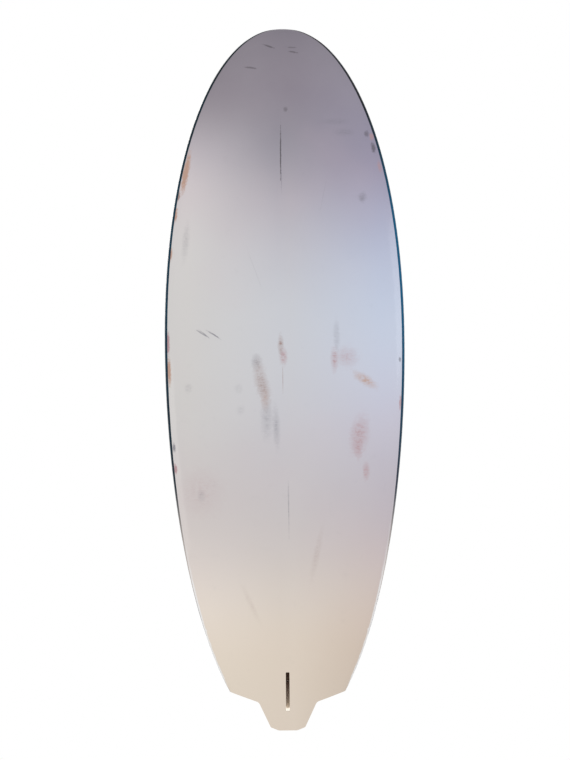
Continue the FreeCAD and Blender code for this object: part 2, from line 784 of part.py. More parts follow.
# ---------------------------------------------------------------- blocks, stringer and cores
filling = cut("filling", inner_hull, panel_blank)
tail_block = cut(
    "tail_block",
    common("tail_block_blank", tail_block_form, inner_hull),
    fin_box_form,
    sleeve_outer,
    leash_form,
)
vent_block = cut("vent_block", common("vent_block_blank", vent_block_form, inner_hull), vent_form)
handle_block = cut(
    "handle_block", common("handle_block_blank", handle_block_form, filling), handle_form
)
slab = box(
    "slab",
    "2 * Sizes.board_length",
    "Sizes.stringer_thick",
    "3 * Sizes.board_thick",
    "0",
    "0",
    "-Sizes.board_thick",
)
blocks = fuse("blocks", tail_block_form, vent_block_form, handle_block_form)
stringer = cut("stringer", common("stringer_blank", filling, slab), blocks)
left_side = box(
    "left_side",
    "2 * Sizes.board_length",
    "Sizes.board_width",
    "3 * Sizes.board_thick",
    "0",
    "(Sizes.board_width - Sizes.stringer_thick) / 2",
    "-Sizes.board_thick",
)
core_right = cut("core_right", filling, left_side, blocks)
core_left = doc.addObject("Part::Mirroring", "core_left")
core_left.Source = core_right
core_left.Normal = Vector(0, 1, 0)

# ---------------------------------------------------------------- deck pads
pad_hull = hull(0, CLEAR, -size("pad_thick"))
pad_floor = hull(0, 0, -size("glue_line"))


def pad_on(plan):
    """Pad of even thickness lying on the deck inside a plan prism."""
    return pad_hull.common(plan).cut(pad_floor)


def side_outline(rear, front, inner):
    """Plan corners of a side panel, its outer edge drawn in from the rail."""
    steps = 8
    ring = [(rear, inner), (front, inner)]
    for step in range(steps + 1):
        x = front + (rear - front) * step / steps
        taper = size("pad_nose_taper") * max(0.0, x / size("pad_front_x")) ** 2
        ring.append((x, half_width(x) - size("pad_rail_margin") - taper))
    return ring


def side_plan(rear, front, inner, side):
    """Tall prism over a pad panel beside the centre line, its outer edge a smooth curve."""
    ring = side_outline(rear, front, inner)
    curve = Part.BSplineCurve()
    curve.interpolate([Vector(x, y * side, 0) for x, y in ring[2:]])
    straight = Part.makePolygon(
        [Vector(x, y * side, 0) for x, y in (ring[-1], ring[0], ring[1], ring[2])]
    )
    prism = plan_prism([curve.toShape()] + straight.Edges)
    corners = [edge for edge in prism.Edges if is_upright(edge)]
    return prism.makeFillet(size("pad_corner"), corners)


centre = size("pad_centre_half")
centre_front = size("pad_front_x") + size("pad_centre_lead")
inner_edge = centre + size("pad_gap")
centre_plan = rounded_plan(
    (
        (centre_front, centre),
        (size("pad_rear_x"), centre),
        (size("pad_rear_x"), -centre),
        (centre_front, -centre),
    ),
    size("pad_corner"),
)
hole_half_x = size("handle_length") / 2 + size("handle_wall") + size("handle_flange")
hole_half_y = size("handle_width") / 2 + size("handle_wall") + size("handle_flange")
hole_half_x += size("pad_handle_margin")
hole_half_y += size("pad_handle_margin")
handle_x = size("handle_x")
handle_hole = rounded_plan(
    (
        (handle_x + hole_half_x, hole_half_y),
        (handle_x - hole_half_x, hole_half_y),
        (handle_x - hole_half_x, -hole_half_y),
        (handle_x + hole_half_x, -hole_half_y),
    ),
    size("handle_round") + size("handle_wall") + size("handle_flange"),
)
side_pads = {}
for name, side in (("deck_pad_left", 1), ("deck_pad_right", -1)):
    plan = side_plan(size("pad_rear_x"), size("pad_front_x"), inner_edge, side)
    side_pads[name] = feature(name, pad_on(plan))
deck_pad_center = feature("deck_pad_center", pad_on(centre_plan.cut(handle_hole)))


def tail_pad_plan():
    """Tall prism over the rear pad, its sides drawn in from the rails."""
    rear = size("tail_pad_rear_x")
    front = size("pad_rear_x") - size("pad_gap")
    places = [front + (rear - front) * step / 5 for step in range(6)]
    sides = []
    for side in (1, -1):
        curve = Part.BSplineCurve()
        curve.interpolate(
            [Vector(x, side * (half_width(x) - size("pad_rail_margin")), 0) for x in places]
        )
        sides.append(curve.toShape())
    ends = []
    for x in (front, rear):
        reach = half_width(x) - size("pad_rail_margin")
        ends.append(Part.LineSegment(Vector(x, -reach, 0), Vector(x, reach, 0)).toShape())
    prism = plan_prism(sides + ends)
    corners = [edge for edge in prism.Edges if is_upright(edge)]
    return prism.makeFillet(size("pad_corner"), corners)


tail_pad = feature("tail_pad", pad_on(tail_pad_plan()))


# Points of the kick's side view, as shares of its length from the back and of its height
KICK_CREST = 0.24          # length at which it is highest
KICK_BACK = (0.06, 0.87)   # on the rounding behind the crest
KICK_SHOULDER = 0.55       # height at which that rounding meets the upright back
KICK_SLOPE = (0.55, 0.25)  # on the hollow slope in front


def kick_shape():
    """Curved wedge on the rear end of the tail pad, its back rounded over."""
    length = size("kick_length")
    height = size("kick_height")
    rear = size("tail_pad_rear_x") + size("kick_setback")
    front = rear + length
    across = -size("kick_half_width")
    deck = deck_height(rear)
    base_z = deck + size("pad_thick")
    crest = Vector(rear + length * KICK_CREST, across, base_z + height)
    shoulder = Vector(rear, across, base_z + height * KICK_SHOULDER)
    foot = Vector(front, across, deck_height(front) + size("pad_thick") + size("kick_edge"))
    middle = Vector(rear + length * KICK_SLOPE[0], across, foot.z + height * KICK_SLOPE[1])
    back = Vector(rear + length * KICK_BACK[0], across, base_z + height * KICK_BACK[1])
    curves = [Part.Arc(shoulder, back, crest).toShape(), Part.Arc(crest, middle, foot).toShape()]
    low_front = Vector(front, across, deck)
    low_rear = Vector(rear, across, deck)
    base = Part.makePolygon([foot, low_front, low_rear, shoulder])
    wedge = Part.Face(Part.Wire(curves + base.Edges)).extrude(Vector(0, -2 * across, 0))
    return wedge.cut(pad_hull)


tail_kick = feature("tail_kick", kick_shape())

# ---------------------------------------------------------------- pieces handed in
PIECES = (
    bottom_skin, deck_skin, core_left, core_right, stringer, standing_panel,
    tail_block, fin_box, fin_bolt_sleeve, leash_cup, leash_bar,
    vent_body, vent_screw, vent_seal, vent_block,
    handle_cup, handle_grip, handle_block,
    deck_pad_center, side_pads["deck_pad_left"], side_pads["deck_pad_right"],
    tail_pad, tail_kick,
)
doc.recompute()
for made in doc.Objects:
    if {"Invalid", "Error"} & set(made.State):
        raise RuntimeError(f"{made.Label} did not recompute: {made.State}")
os.makedirs("parts", exist_ok=True)
for piece in PIECES:
    shape = piece.Shape
    if shape.isNull() or not shape.isValid() or not shape.Solids:
        raise RuntimeError(f"{piece.Label} is not a valid solid")
    shape.exportStep(f"parts/{piece.Label}.step")
    box_found = shape.optimalBoundingBox(True, False)
    print(
        f"{piece.Label:18s} solids {len(shape.Solids)} volume {shape.Volume / 1000:10.1f} cm3  "
        f"x {box_found.XMin:8.1f} {box_found.XMax:8.1f}  y {box_found.YMin:7.1f} "
        f"{box_found.YMax:7.1f}  z {box_found.ZMin:7.2f} {box_found.ZMax:7.2f}"
    )
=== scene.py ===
import json
import math

import bmesh
import bpy
import numpy as np
from mathutils import Matrix, Vector
from mathutils.bvhtree import BVHTree


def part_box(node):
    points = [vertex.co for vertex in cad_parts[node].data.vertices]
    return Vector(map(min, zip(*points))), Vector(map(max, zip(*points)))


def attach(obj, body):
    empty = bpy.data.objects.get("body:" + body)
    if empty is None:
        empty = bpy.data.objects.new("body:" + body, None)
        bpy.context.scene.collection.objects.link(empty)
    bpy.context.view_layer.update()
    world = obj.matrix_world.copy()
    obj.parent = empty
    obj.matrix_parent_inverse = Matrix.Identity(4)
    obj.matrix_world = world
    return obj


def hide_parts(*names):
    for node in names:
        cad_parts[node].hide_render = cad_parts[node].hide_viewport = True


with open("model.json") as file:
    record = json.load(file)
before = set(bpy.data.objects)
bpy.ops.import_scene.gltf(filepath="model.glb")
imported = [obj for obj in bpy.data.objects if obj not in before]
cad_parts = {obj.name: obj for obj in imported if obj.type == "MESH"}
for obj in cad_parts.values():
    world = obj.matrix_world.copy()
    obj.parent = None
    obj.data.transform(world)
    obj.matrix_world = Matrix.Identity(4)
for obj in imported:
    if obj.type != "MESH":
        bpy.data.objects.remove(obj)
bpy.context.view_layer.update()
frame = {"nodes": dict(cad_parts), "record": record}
NODES = frame["nodes"]
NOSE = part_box("bottom_skin")[1].x           # nose tip
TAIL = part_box("bottom_skin")[0].x           # tail end
HALF = (NOSE - TAIL) / 2
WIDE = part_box("deck_skin")[1].y             # half width at the wide point

# ------------------------------------------------------------------ camera and stage
CAMERA_DISTANCE = 4.70                      # camera to the keel line
CAMERA_BACK = -0.0117                       # camera behind the board's middle
CAMERA_ROLL = math.radians(0.51)            # the nose leans a little to the left
LENS = 61.60                                # focal length in millimetres
FLOOR_DROP = 0.003                          # floor under the keel line
CLIP_MARGIN = 0.0015                        # the view starts this far above the floor
SENSOR = 36.0                               # sensor width for that lens, in millimetres
FAR = 60.0                                  # end of the view, and the floor's size


def make_camera():
    """Camera that looks straight up at the underside, with the nose at the top."""
    data = bpy.data.cameras.new("camera")
    data.lens = LENS
    data.sensor_width = SENSOR
    data.clip_start = CAMERA_DISTANCE - FLOOR_DROP + CLIP_MARGIN
    data.clip_end = FAR
    camera = bpy.data.objects.new("camera", data)
    bpy.context.scene.collection.objects.link(camera)
    s, c = math.sin(CAMERA_ROLL), math.cos(CAMERA_ROLL)
    right, up, back = Vector((-s, c, 0)), Vector((c, s, 0)), Vector((0, 0, -1))
    turn = Matrix((right, up, back)).transposed().to_4x4()
    camera.matrix_world = Matrix.Translation((CAMERA_BACK, 0, -CAMERA_DISTANCE)) @ turn
    bpy.context.scene.camera = camera


# ------------------------------------------------------------------ node helpers
def linear(red, green, blue):
    """Colour given as 0 to 255 display values, as the linear colour that nodes use."""
    def channel(value):
        value /= 255
        return value / 12.92 if value <= 0.04045 else ((value + 0.055) / 1.055) ** 2.4
    return (channel(red), channel(green), channel(blue), 1.0)


class Nodes:
    """Builds one material's node tree, one short call per node."""

    def __init__(self, name):
        self.material = bpy.data.materials.new(name)
        self.material.use_nodes = True
        self.tree = self.material.node_tree
        self.tree.nodes.clear()
        self.output = self.tree.nodes.new("ShaderNodeOutputMaterial")
        self.shader = self.tree.nodes.new("ShaderNodeBsdfPrincipled")
        self.link(self.shader.outputs[0], self.output.inputs[0])
        self.place = self.tree.nodes.new("ShaderNodeTexCoord").outputs["Object"]

    def link(self, source, target):
        self.tree.links.new(source, target)

    def put(self, target, value):
        """Sets a socket to a number or links it to another socket."""
        if isinstance(value, bpy.types.NodeSocket):
            self.link(value, target)
        else:
            target.default_value = value

    def math(self, operation, a, b=0.5, clamp=False):
        node = self.tree.nodes.new("ShaderNodeMath")
        node.operation = operation
        node.use_clamp = clamp
        self.put(node.inputs[0], a)
        self.put(node.inputs[1], b)
        return node.outputs[0]

    def axis(self, name):
        """One of the row frame's coordinates."""
        node = self.tree.nodes.new("ShaderNodeSeparateXYZ")
        self.link(self.place, node.inputs[0])
        return node.outputs[name]

    def stretch(self, value, low, high, to_low=0.0, to_high=1.0):
        """Maps low to high onto to_low to to_high, clamped, with smooth ends."""
        node = self.tree.nodes.new("ShaderNodeMapRange")
        node.interpolation_type = "SMOOTHSTEP"
        self.put(node.inputs["Value"], value)
        node.inputs["From Min"].default_value = low
        node.inputs["From Max"].default_value = high
        node.inputs["To Min"].default_value = to_low
        node.inputs["To Max"].default_value = to_high
        return node.outputs["Result"]

    def ramped(self, value, low, high):
        """Maps low to high onto 0 to 1 in a straight line, clamped."""
        node = self.tree.nodes.new("ShaderNodeMapRange")
        self.put(node.inputs["Value"], value)
        node.inputs["From Min"].default_value = low
        node.inputs["From Max"].default_value = high
        return node.outputs["Result"]

    def moved(self, location=(0, 0, 0), turn=0.0, scale=(1, 1, 1)):
        """The place, seen from a point, turned about Z and divided by a size."""
        node = self.tree.nodes.new("ShaderNodeMapping")
        node.vector_type = "TEXTURE"
        node.inputs["Location"].default_value = location
        node.inputs["Rotation"].default_value = (0, 0, turn)
        node.inputs["Scale"].default_value = scale
        self.link(self.place, node.inputs["Vector"])
        return node.outputs["Vector"]

    def noise(self, scale, detail=3.0, roughness=0.55, where=None, distortion=0.0):
        node = self.tree.nodes.new("ShaderNodeTexNoise")
        node.inputs["Scale"].default_value = scale
        node.inputs["Detail"].default_value = detail
        node.inputs["Roughness"].default_value = roughness
        node.inputs["Distortion"].default_value = distortion
        self.link(where or self.place, node.inputs["Vector"])
        return node.outputs["Fac"]

    def cells(self, scale, where=None, feature="F1"):
        node = self.tree.nodes.new("ShaderNodeTexVoronoi")
        node.feature = feature
        node.inputs["Scale"].default_value = scale
        self.link(where or self.place, node.inputs["Vector"])
        return node.outputs["Distance"]

    def ramp(self, value, stops):
        """Colour ramp through (position, colour) stops, smooth between them."""
        node = self.tree.nodes.new("ShaderNodeValToRGB")
        node.color_ramp.interpolation = "B_SPLINE"
        ends = node.color_ramp.elements
        ends[0].position, ends[0].color = stops[0]
        ends[1].position, ends[1].color = stops[-1]
        for position, colour in stops[1:-1]:
            ends.new(position).color = colour
        self.put(node.inputs["Fac"], value)
        return node.outputs["Color"]

    def mix(self, amount, a, b, blend="MIX"):
        node = self.tree.nodes.new("ShaderNodeMix")
        node.data_type = "RGBA"
        node.blend_type = blend
        self.put(node.inputs["Factor"], amount)
        self.put(node.inputs[6], a)
        self.put(node.inputs[7], b)
        return node.outputs[2]

    def apart(self, a, b):
        """How different two colours are."""
        node = self.tree.nodes.new("ShaderNodeVectorMath")
        node.operation = "DISTANCE"
        self.link(a, node.inputs[0])
        self.link(b, node.inputs[1])
        return node.outputs["Value"]

    def ball(self, where):
        """1 at the middle of a ball of unit radius, falling to 0 at its surface."""
        node = self.tree.nodes.new("ShaderNodeTexGradient")
        node.gradient_type = "SPHERICAL"
        self.link(where, node.inputs["Vector"])
        return node.outputs["Fac"]

    def facing_down(self):
        """1 where the surface faces straight down, falling to 0 where it stands upright."""
        normal = self.tree.nodes.new("ShaderNodeNewGeometry").outputs["Normal"]
        node = self.tree.nodes.new("ShaderNodeSeparateXYZ")
        self.link(normal, node.inputs[0])
        return self.math("MULTIPLY", node.outputs["Z"], -1.0)

    def bump(self, height, distance, strength=1.0, onto=None):
        node = self.tree.nodes.new("ShaderNodeBump")
        node.inputs["Strength"].default_value = strength
        node.inputs["Distance"].default_value = distance
        self.put(node.inputs["Height"], height)
        if onto is not None:
            self.link(onto, node.inputs["Normal"])
        return node.outputs["Normal"]

    def finish(self, **inputs):
        """Sets the shader's inputs by name, with _ for a space."""
        for name, value in inputs.items():
            self.put(self.shader.inputs[name.replace("_", " ")], value)
        return self.material


# ------------------------------------------------------------------ marks on the underside
# Each mark: place along the board (0 tail end, 1 nose tip), place across (-1 to 1 of the half
# width), half length along and across in metres, turn in degrees, strength, and its colour.
BROWN = linear(148, 120, 112)
PINK = linear(172, 136, 140)
GREY = linear(112, 110, 120)
DARK = linear(52, 46, 50)
RUST = linear(182, 146, 128)
MARK_FIELD = 3                              # a mark's rim is worked out this many sizes out
SMUDGES = (
    (0.544, -0.033, 0.030, 0.008, 0, 1.00, BROWN),
    (0.528, -0.010, 0.024, 0.011, 0, 1.00, PINK),
    (0.521, -0.235, 0.022, 0.015, 0, 0.60, GREY),
    (0.502, -0.210, 0.048, 0.018, -8, 0.60, BROWN),
    (0.482, -0.178, 0.040, 0.018, -10, 0.75, BROWN),
    (0.467, -0.165, 0.030, 0.012, 0, 0.45, RUST),
    (0.443, -0.155, 0.060, 0.017, 0, 0.42, GREY),
    (0.430, -0.075, 0.060, 0.010, -2, 0.50, GREY),
    (0.556, 0.430, 0.045, 0.009, 0, 0.45, GREY),
    (0.524, 0.410, 0.036, 0.010, 0, 0.90, PINK),
    (0.527, 0.510, 0.030, 0.034, 0, 0.55, PINK),
    (0.495, 0.660, 0.038, 0.014, -57, 1.00, RUST),
    (0.418, 0.610, 0.055, 0.026, 10, 0.85, PINK),
    (0.399, 0.600, 0.030, 0.014, 0, 0.80, PINK),
    (0.367, 0.665, 0.026, 0.010, 0, 0.95, PINK),
    (0.340, -0.700, 0.070, 0.062, 0, 0.26, PINK),
    (0.334, -0.700, 0.018, 0.010, 0, 0.40, GREY),
    (0.485, -0.800, 0.014, 0.012, 0, 0.28, GREY),
    (0.484, -0.385, 0.014, 0.012, 0, 0.22, GREY),
    (0.454, -0.370, 0.014, 0.012, 0, 0.22, GREY),
    (0.690, -0.815, 0.055, 0.010, 6, 0.35, GREY),
    (0.751, 0.655, 0.016, 0.012, 20, 0.75, GREY),
    (0.844, 0.515, 0.012, 0.030, 0, 0.40, GREY),
    (0.860, 0.440, 0.010, 0.040, 0, 0.35, GREY),
    (0.878, 0.024, 0.007, 0.006, 0, 1.00, DARK),
    (0.251, 0.250, 0.080, 0.010, 12, 0.25, BROWN),
    (0.182, -0.300, 0.060, 0.008, -25, 0.20, BROWN),
)
RAIL_WEAR = (
    (0.789, -0.812, 0.068, 0.010, 11, 0.95, RUST),
    (0.755, -0.875, 0.014, 0.005, 10, 0.90, BROWN),
    (0.728, -0.900, 0.024, 0.006, 8, 0.95, RUST),
    (0.674, -0.940, 0.023, 0.005, 5, 0.95, RUST),
    (0.548, -0.967, 0.038, 0.005, 0, 0.95, PINK),
    (0.508, -0.960, 0.044, 0.006, -1, 1.00, RUST),
    (0.402, -0.925, 0.014, 0.005, -4, 0.80, GREY),
    (0.372, -0.915, 0.016, 0.005, -6, 0.95, PINK),
    (0.842, 0.700, 0.010, 0.008, 0, 0.45, DARK),
    (0.838, 0.742, 0.012, 0.007, 0, 0.70, PINK),
    (0.822, 0.755, 0.018, 0.007, -12, 0.60, DARK),
    (0.795, 0.805, 0.018, 0.006, -12, 0.60, PINK),
    (0.523, 0.955, 0.008, 0.004, 0, 0.50, DARK),
    (0.462, 0.955, 0.022, 0.004, 2, 0.80, PINK),
)
SCRATCHES = (
    (0.815, -0.020, 0.090, 0.0022, 0.4, 0.75, DARK),
    (0.777, -0.014, 0.040, 0.0014, 0.4, 0.35, GREY),
    (0.972, -0.110, 0.019, 0.0028, -70, 0.62, DARK),
    (0.970, 0.080, 0.015, 0.0020, 93, 0.45, DARK),
    (0.963, 0.092, 0.015, 0.0030, 100, 0.55, DARK),
    (0.940, -0.265, 0.019, 0.0032, 98, 0.50, DARK),
    (0.330, 0.020, 0.060, 0.0022, 0, 0.30, GREY),
    (0.301, 0.022, 0.070, 0.0014, 0, 0.30, GREY),
    (0.497, -0.018, 0.045, 0.0012, 0, 0.50, BROWN),
    (0.562, -0.690, 0.020, 0.0024, -56, 0.55, GREY),
    (0.560, -0.660, 0.022, 0.0020, -50, 0.55, GREY),
    (0.561, -0.600, 0.022, 0.0024, -58, 0.55, GREY),
    (0.558, -0.570, 0.020, 0.0020, -54, 0.50, GREY),
    (0.753, 0.330, 0.055, 0.0010, 12, 0.15, GREY),
    (0.649, -0.240, 0.070, 0.0010, -20, 0.15, GREY),
)


def mark_mask(nodes, mark, ragged, edge):
    """Mask of one soft oval mark, its rim broken up by noise."""
    along, across, half_long, half_wide, turn, strength, _ = mark
    where = (TAIL + along * 2 * HALF, across * WIDE, 0)
    size = (half_long * MARK_FIELD, half_wide * MARK_FIELD, 1000)
    local = nodes.moved(where, math.radians(turn), size)
    inside = nodes.math("MULTIPLY", nodes.ball(local), MARK_FIELD)
    broken = nodes.math("SUBTRACT", inside, ragged)
    rim = MARK_FIELD - 1
    return nodes.stretch(broken, rim - edge, rim + edge, 0.0, strength)


def add_marks(nodes, colour, marks, ragged, edge, cover=1.0):
    """Lays the marks over a colour, as thick as cover."""
    for mark in marks:
        mask = nodes.math("MULTIPLY", mark_mask(nodes, mark, ragged, edge), cover)
        colour = nodes.mix(mask, colour, mark[-1])
    return colour


def along_board(nodes):
    """0 at the tail end and 1 at the nose tip."""
    return nodes.ramped(nodes.axis("X"), TAIL, NOSE)


def underside_shade_and_tint(nodes, place):
    """Pale bottom colour with painted shade and painted reflection: painted shade darkens the nose
    to mauve grey, painted reflection makes the right side from below cool blue and the left warm,
    and the cream at the tail is partly yellowed resin and partly painted warm reflection.

    Three ramps along the board are blended across it: left, middle and right from below.
    """
    # These ramps carry painted shade toward the nose and painted reflection across the board, over
    # the bottom's own pale colour.
    left = nodes.ramp(place, (
        (0.00, linear(216, 204, 186)),
        (0.10, linear(222, 209, 192)),
        (0.18, linear(229, 217, 206)),
        (0.26, linear(204, 196, 192)),
        (0.34, linear(198, 190, 189)),
        (0.45, linear(201, 199, 197)),
        (0.68, linear(206, 203, 201)),
        (0.77, linear(204, 196, 198)),
        (0.82, linear(186, 178, 184)),
        (0.87, linear(148, 140, 147)),
        (0.92, linear(128, 119, 128)),
        (1.00, linear(128, 122, 130)),
    ))
    middle = nodes.ramp(place, (
        (0.00, linear(214, 200, 184)),
        (0.12, linear(216, 202, 186)),
        (0.18, linear(213, 202, 190)),
        (0.26, linear(198, 190, 188)),
        (0.36, linear(191, 187, 190)),
        (0.45, linear(195, 194, 200)),
        (0.58, linear(199, 202, 208)),
        (0.67, linear(189, 188, 196)),
        (0.75, linear(172, 166, 175)),
        (0.80, linear(151, 148, 158)),
        (0.86, linear(136, 130, 141)),
        (0.92, linear(131, 122, 134)),
        (1.00, linear(123, 117, 127)),
    ))
    right = nodes.ramp(place, (
        (0.00, linear(186, 171, 152)),
        (0.12, linear(202, 183, 168)),
        (0.20, linear(205, 190, 182)),
        (0.29, linear(185, 175, 181)),
        (0.38, linear(185, 180, 190)),
        (0.46, linear(194, 194, 210)),
        (0.56, linear(193, 203, 221)),
        (0.66, linear(182, 190, 212)),
        (0.74, linear(162, 161, 184)),
        (0.80, linear(142, 136, 159)),
        (0.88, linear(139, 133, 152)),
        (1.00, linear(127, 121, 132)),
    ))
    across = nodes.axis("Y")
    colour = nodes.mix(nodes.ramped(across, -WIDE * 0.8, -WIDE * 0.05), left, middle)
    return nodes.mix(nodes.ramped(across, WIDE * 0.05, WIDE * 0.8), colour, right)


def underside():
    """Pale lacquer of the bottom, with painted shade and reflection, smudges, scratches, rail wear
    and a painted highlight along the rim.
    """
    nodes = Nodes("underside_lacquer")
    place = along_board(nodes)
    colour = underside_shade_and_tint(nodes, place)
    cloud = nodes.noise(3.0, 4.0, 0.5)
    colour = nodes.mix(nodes.stretch(cloud, 0.3, 0.8, 0.0, 0.05), colour, linear(232, 230, 230))
    rosy = nodes.noise(2.2, 3.0, 0.5, nodes.moved((3.1, 1.7, 0)))
    colour = nodes.mix(nodes.stretch(rosy, 0.45, 0.8, 0.0, 0.10), colour, linear(206, 176, 184))
    grime = nodes.noise(22.0, 6.0, 0.65)
    colour = nodes.mix(nodes.stretch(grime, 0.58, 0.85, 0.0, 0.08), colour, GREY)
    streaks = nodes.noise(90.0, 4.0, 0.7, nodes.moved(scale=(0.35, 2.2, 1)))
    speckle = nodes.stretch(nodes.noise(70.0, 5.0, 0.7), 0.34, 0.62)
    dabs = nodes.math("MULTIPLY", nodes.stretch(streaks, 0.36, 0.60, 0.2, 1.0), speckle)
    cover = nodes.stretch(dabs, 0.0, 1.0, 0.30, 0.95)
    rim = nodes.math("SUBTRACT", nodes.noise(70.0, 5.0, 0.7), 0.5)
    ragged = nodes.math("MULTIPLY", rim, 2.6)
    clean = colour
    colour = add_marks(nodes, colour, SMUDGES, ragged, 0.75, cover)
    fine = nodes.math("MULTIPLY", nodes.math("SUBTRACT", nodes.noise(130.0, 3.0), 0.5), 1.6)
    colour = add_marks(nodes, colour, RAIL_WEAR, fine, 0.5)
    colour = add_marks(nodes, colour, SCRATCHES, fine, 0.45)
    worn = nodes.math("MULTIPLY", nodes.apart(colour, clean), 2.5, clamp=True)
    hairlines = nodes.noise(60.0, 2.0, 0.5, nodes.moved(turn=0.5, scale=(1.4, 0.03, 1)))
    colour = nodes.mix(nodes.stretch(hairlines, 0.66, 0.76, 0.0, 0.05), colour, GREY)
    # Painted highlight: a near white band where the bottom turns up into the rail, kept short of
    # the nose.
    short_of_nose = nodes.stretch(place, 0.93, 0.84)
    painted_rim_highlight = nodes.stretch(nodes.facing_down(), 0.935, 0.86, 0.0, 0.65)
    edge = nodes.math("MULTIPLY", painted_rim_highlight, short_of_nose)
    colour = nodes.mix(edge, colour, linear(240, 242, 244))
    haze = nodes.math("ADD", worn, nodes.stretch(grime, 0.5, 0.9, 0, 0.2))
    rough = nodes.stretch(haze, 0.0, 1.1, 0.17, 0.62)
    ripple = nodes.bump(nodes.noise(26.0, 2.0), 0.0006, 0.25)
    peel = nodes.bump(nodes.noise(420.0, 2.0), 0.00012, 0.3, ripple)
    dents = nodes.bump(worn, 0.0003, 0.35, peel)
    return nodes.finish(
        Base_Color=colour, Roughness=rough, Normal=dents, Specular_IOR_Level=0.35,
        Coat_Weight=0.25, Coat_Roughness=0.08,
    )


def deck_lacquer():
    """Petrol blue lacquer of the deck and rails, with painted reflection and shade: teal in the
    middle, near black and brown toward the nose, mauve toward the tail, and darker on the -Y side.
    """
    nodes = Nodes("deck_lacquer")
    place = along_board(nodes)
    # The changes along the board are painted reflection and shade, not the lacquer's own colour.
    colour = nodes.ramp(place, (
        (0.00, linear(120, 108, 116)),
        (0.20, linear(78, 72, 86)),
        (0.38, linear(34, 42, 54)),
        (0.50, linear(14, 70, 98)),
        (0.62, linear(8, 92, 132)),
        (0.74, linear(8, 84, 118)),
        (0.82, linear(12, 36, 48)),
        (0.92, linear(34, 28, 30)),
        (1.00, linear(64, 56, 56)),
    ))
    # Painted shade: the -Y side is darkened, as it reflects less blue.
    shaded_side = nodes.ramped(nodes.axis("Y"), WIDE * 0.5, -WIDE * 0.5)
    colour = nodes.mix(nodes.math("MULTIPLY", shaded_side, 0.8), colour, linear(13, 30, 37))
    depth = nodes.noise(5.0, 5.0, 0.6)
    colour = nodes.mix(nodes.stretch(depth, 0.3, 0.75, 0.0, 0.25), colour, linear(20, 70, 88))
    flecks = nodes.noise(700.0, 3.0, 0.6)
    colour = nodes.mix(nodes.stretch(flecks, 0.60, 0.72, 0.0, 0.12), colour, linear(120, 160, 176))
    chips = nodes.stretch(nodes.noise(26.0, 8.0, 0.75), 0.66, 0.74, 0.0, 0.55)
    low = nodes.stretch(nodes.axis("Z"), 0.075, 0.03)
    outer = nodes.stretch(nodes.math("ABSOLUTE", nodes.axis("Y"), 0), WIDE * 0.86, WIDE * 0.97)
    on_rail = nodes.math("MULTIPLY", low, outer)
    colour = nodes.mix(nodes.math("MULTIPLY", chips, on_rail), colour, linear(176, 140, 122))
    near_tail = nodes.stretch(place, 0.36, 0.22)
    lap = nodes.math("MULTIPLY", nodes.stretch(nodes.facing_down(), 0.2, 0.6), near_tail)
    colour = nodes.mix(lap, colour, linear(206, 195, 188))
    haze = nodes.noise(90.0, 6.0, 0.7)
    rough = nodes.stretch(haze, 0.35, 0.9, 0.16, 0.42)
    ripple = nodes.bump(nodes.noise(24.0, 2.0), 0.0006, 0.25)
    peel = nodes.bump(nodes.noise(420.0, 2.0), 0.00012, 0.3, ripple)
    return nodes.finish(
        Base_Color=colour, Roughness=rough, Normal=peel, Specular_IOR_Level=0.12,
    )


def moulded(name, base, stain, roughness, grain=520.0, specular=0.5):
    """Moulded plastic with fine grain, faint stains and rubbed highlights."""
    nodes = Nodes(name)
    stains = nodes.stretch(nodes.noise(34.0, 6.0, 0.65), 0.42, 0.80, 0.0, 0.45)
    colour = nodes.mix(stains, base, stain)
    rough = nodes.stretch(nodes.noise(60.0, 5.0), 0.3, 0.8, roughness - 0.08, roughness + 0.12)
    normal = nodes.bump(nodes.cells(grain), 0.00015, 0.5)
    return nodes.finish(
        Base_Color=colour, Roughness=rough, Normal=normal, Specular_IOR_Level=specular,
    )


def slot_plastic():
    """White plastic of the fin box and bolt sleeve: painted shadow with some dirt darkens the
    inside toward the front, and the rear end wall is painted near white as a painted highlight.

    That end wall also glows a little: painted light, for the light that falls on it.
    """
    nodes = Nodes("white_plastic")
    low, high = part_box("fin_box")
    along = nodes.ramped(nodes.axis("X"), low.x, high.x)
    # Painted shadow with some dirt: darker toward the slot's front, which lies in the front wall's
    # shade.
    silt_and_shadow = nodes.ramp(along, (
        (0.00, linear(220, 208, 194)),
        (0.22, linear(198, 183, 167)),
        (0.46, linear(172, 152, 136)),
        (0.62, linear(112, 84, 68)),
        (1.00, linear(104, 76, 62)),
    ))
    patchy = nodes.stretch(nodes.noise(60.0, 5.0, 0.6), 0.25, 0.75, 0.85, 1.0)
    # Painted highlight: the upright rear end wall, where the light falls, is made near white and
    # glows a little.
    end = nodes.stretch(along, 0.14, 0.06)
    wall = nodes.stretch(nodes.facing_down(), 0.5, 0.1)
    clean = nodes.math("MULTIPLY", end, wall)
    colour = nodes.mix(patchy, linear(120, 104, 90), silt_and_shadow)
    colour = nodes.mix(clean, colour, linear(244, 241, 234))
    rough = nodes.stretch(nodes.noise(60.0, 5.0), 0.3, 0.8, 0.45, 0.7)
    normal = nodes.bump(nodes.cells(520.0), 0.00015, 0.5)
    return nodes.finish(
        Base_Color=colour, Roughness=rough, Normal=normal, Specular_IOR_Level=0.12,
        Emission_Color=colour, Emission_Strength=nodes.math("MULTIPLY", clean, 0.5),
    )


